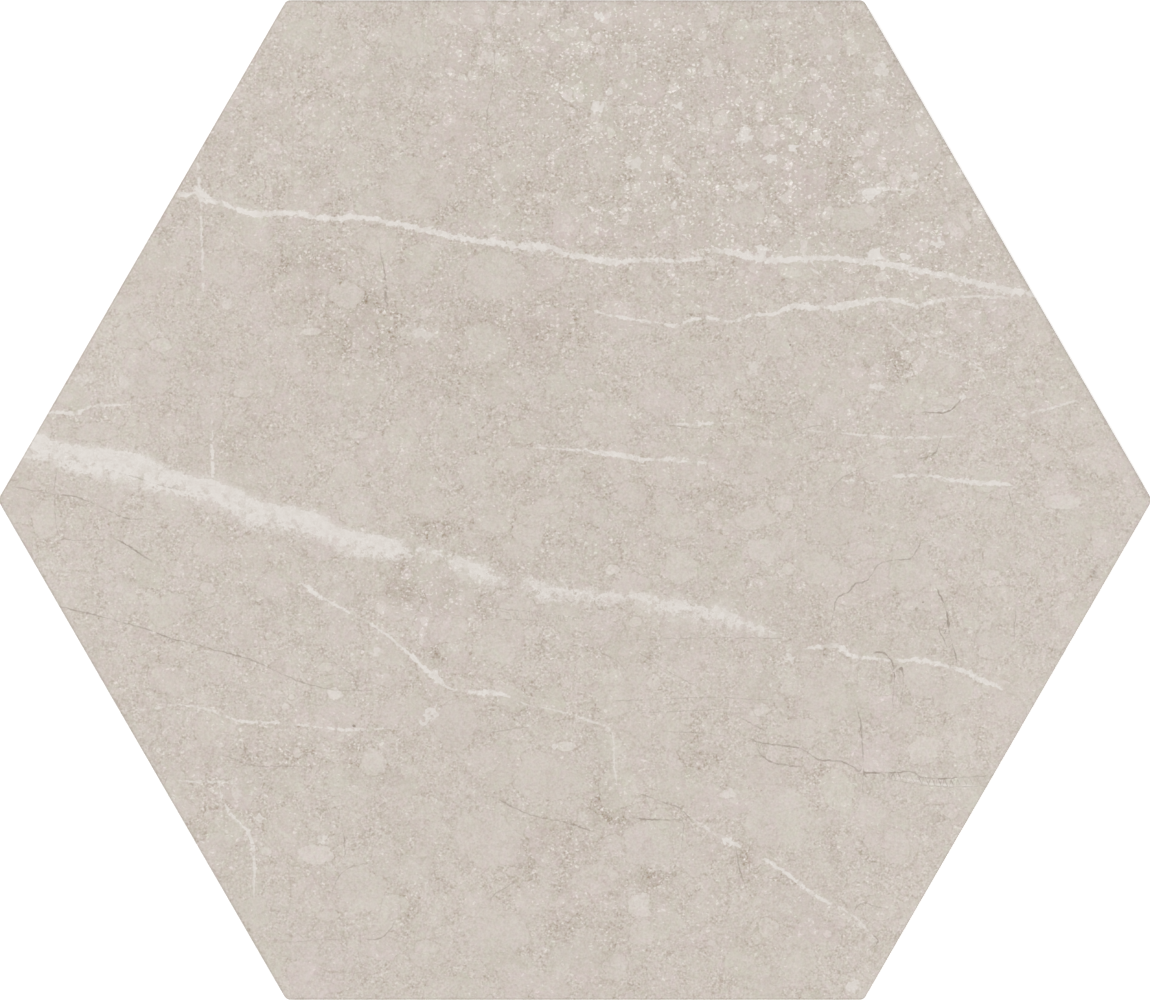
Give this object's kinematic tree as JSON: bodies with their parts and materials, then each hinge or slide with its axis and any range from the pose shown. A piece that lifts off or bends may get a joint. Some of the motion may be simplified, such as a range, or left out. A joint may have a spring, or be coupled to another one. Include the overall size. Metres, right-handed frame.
{
  "type": "hexagon floor tile",
  "caption": "Hexagonal glazed porcelain floor tile with a limestone look, eased edges and a keyed back.",
  "frame": {"origin": "middle of the back, on the plane of the bed", "axes": "+Z out of the glazed face, +X towards one of the six corners, +Y square to two of the sides"},
  "size_m": [0.2882, 0.25, 0.009],
  "materials": {
    "glazed_porcelain": "matte"
  },
  "bodies": {
    "root": {"hexagon_tile": "glazed_porcelain"}
  },
  "joints": []
}
